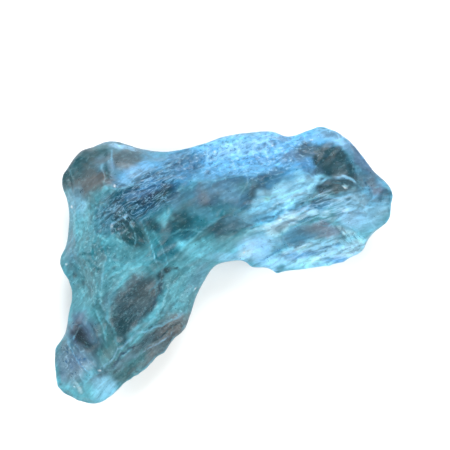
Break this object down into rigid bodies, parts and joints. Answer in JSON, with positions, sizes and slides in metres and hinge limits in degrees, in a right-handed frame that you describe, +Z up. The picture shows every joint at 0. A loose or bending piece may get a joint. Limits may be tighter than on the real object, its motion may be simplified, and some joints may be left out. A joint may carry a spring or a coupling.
{
  "type": "moldavite",
  "caption": "Rough L-shaped splinter of natural green-blue glass, lying flat, chipped all over by shallow shell-shaped scars.",
  "frame": {"origin": "under the middle of the stone's bounding box, on the surface it rests on", "axes": "+X along the long arm towards its far end, +Y from the lower tip of the short arm towards the blunt corner, +Z up through the stone's thickness"},
  "size_m": [0.0378, 0.031, 0.01],
  "materials": {
    "moldavite_glass": "rough natural glass, glossy on its chipped faces"
  },
  "bodies": {
    "root": {"moldavite_stone": "moldavite_glass"}
  },
  "joints": []
}
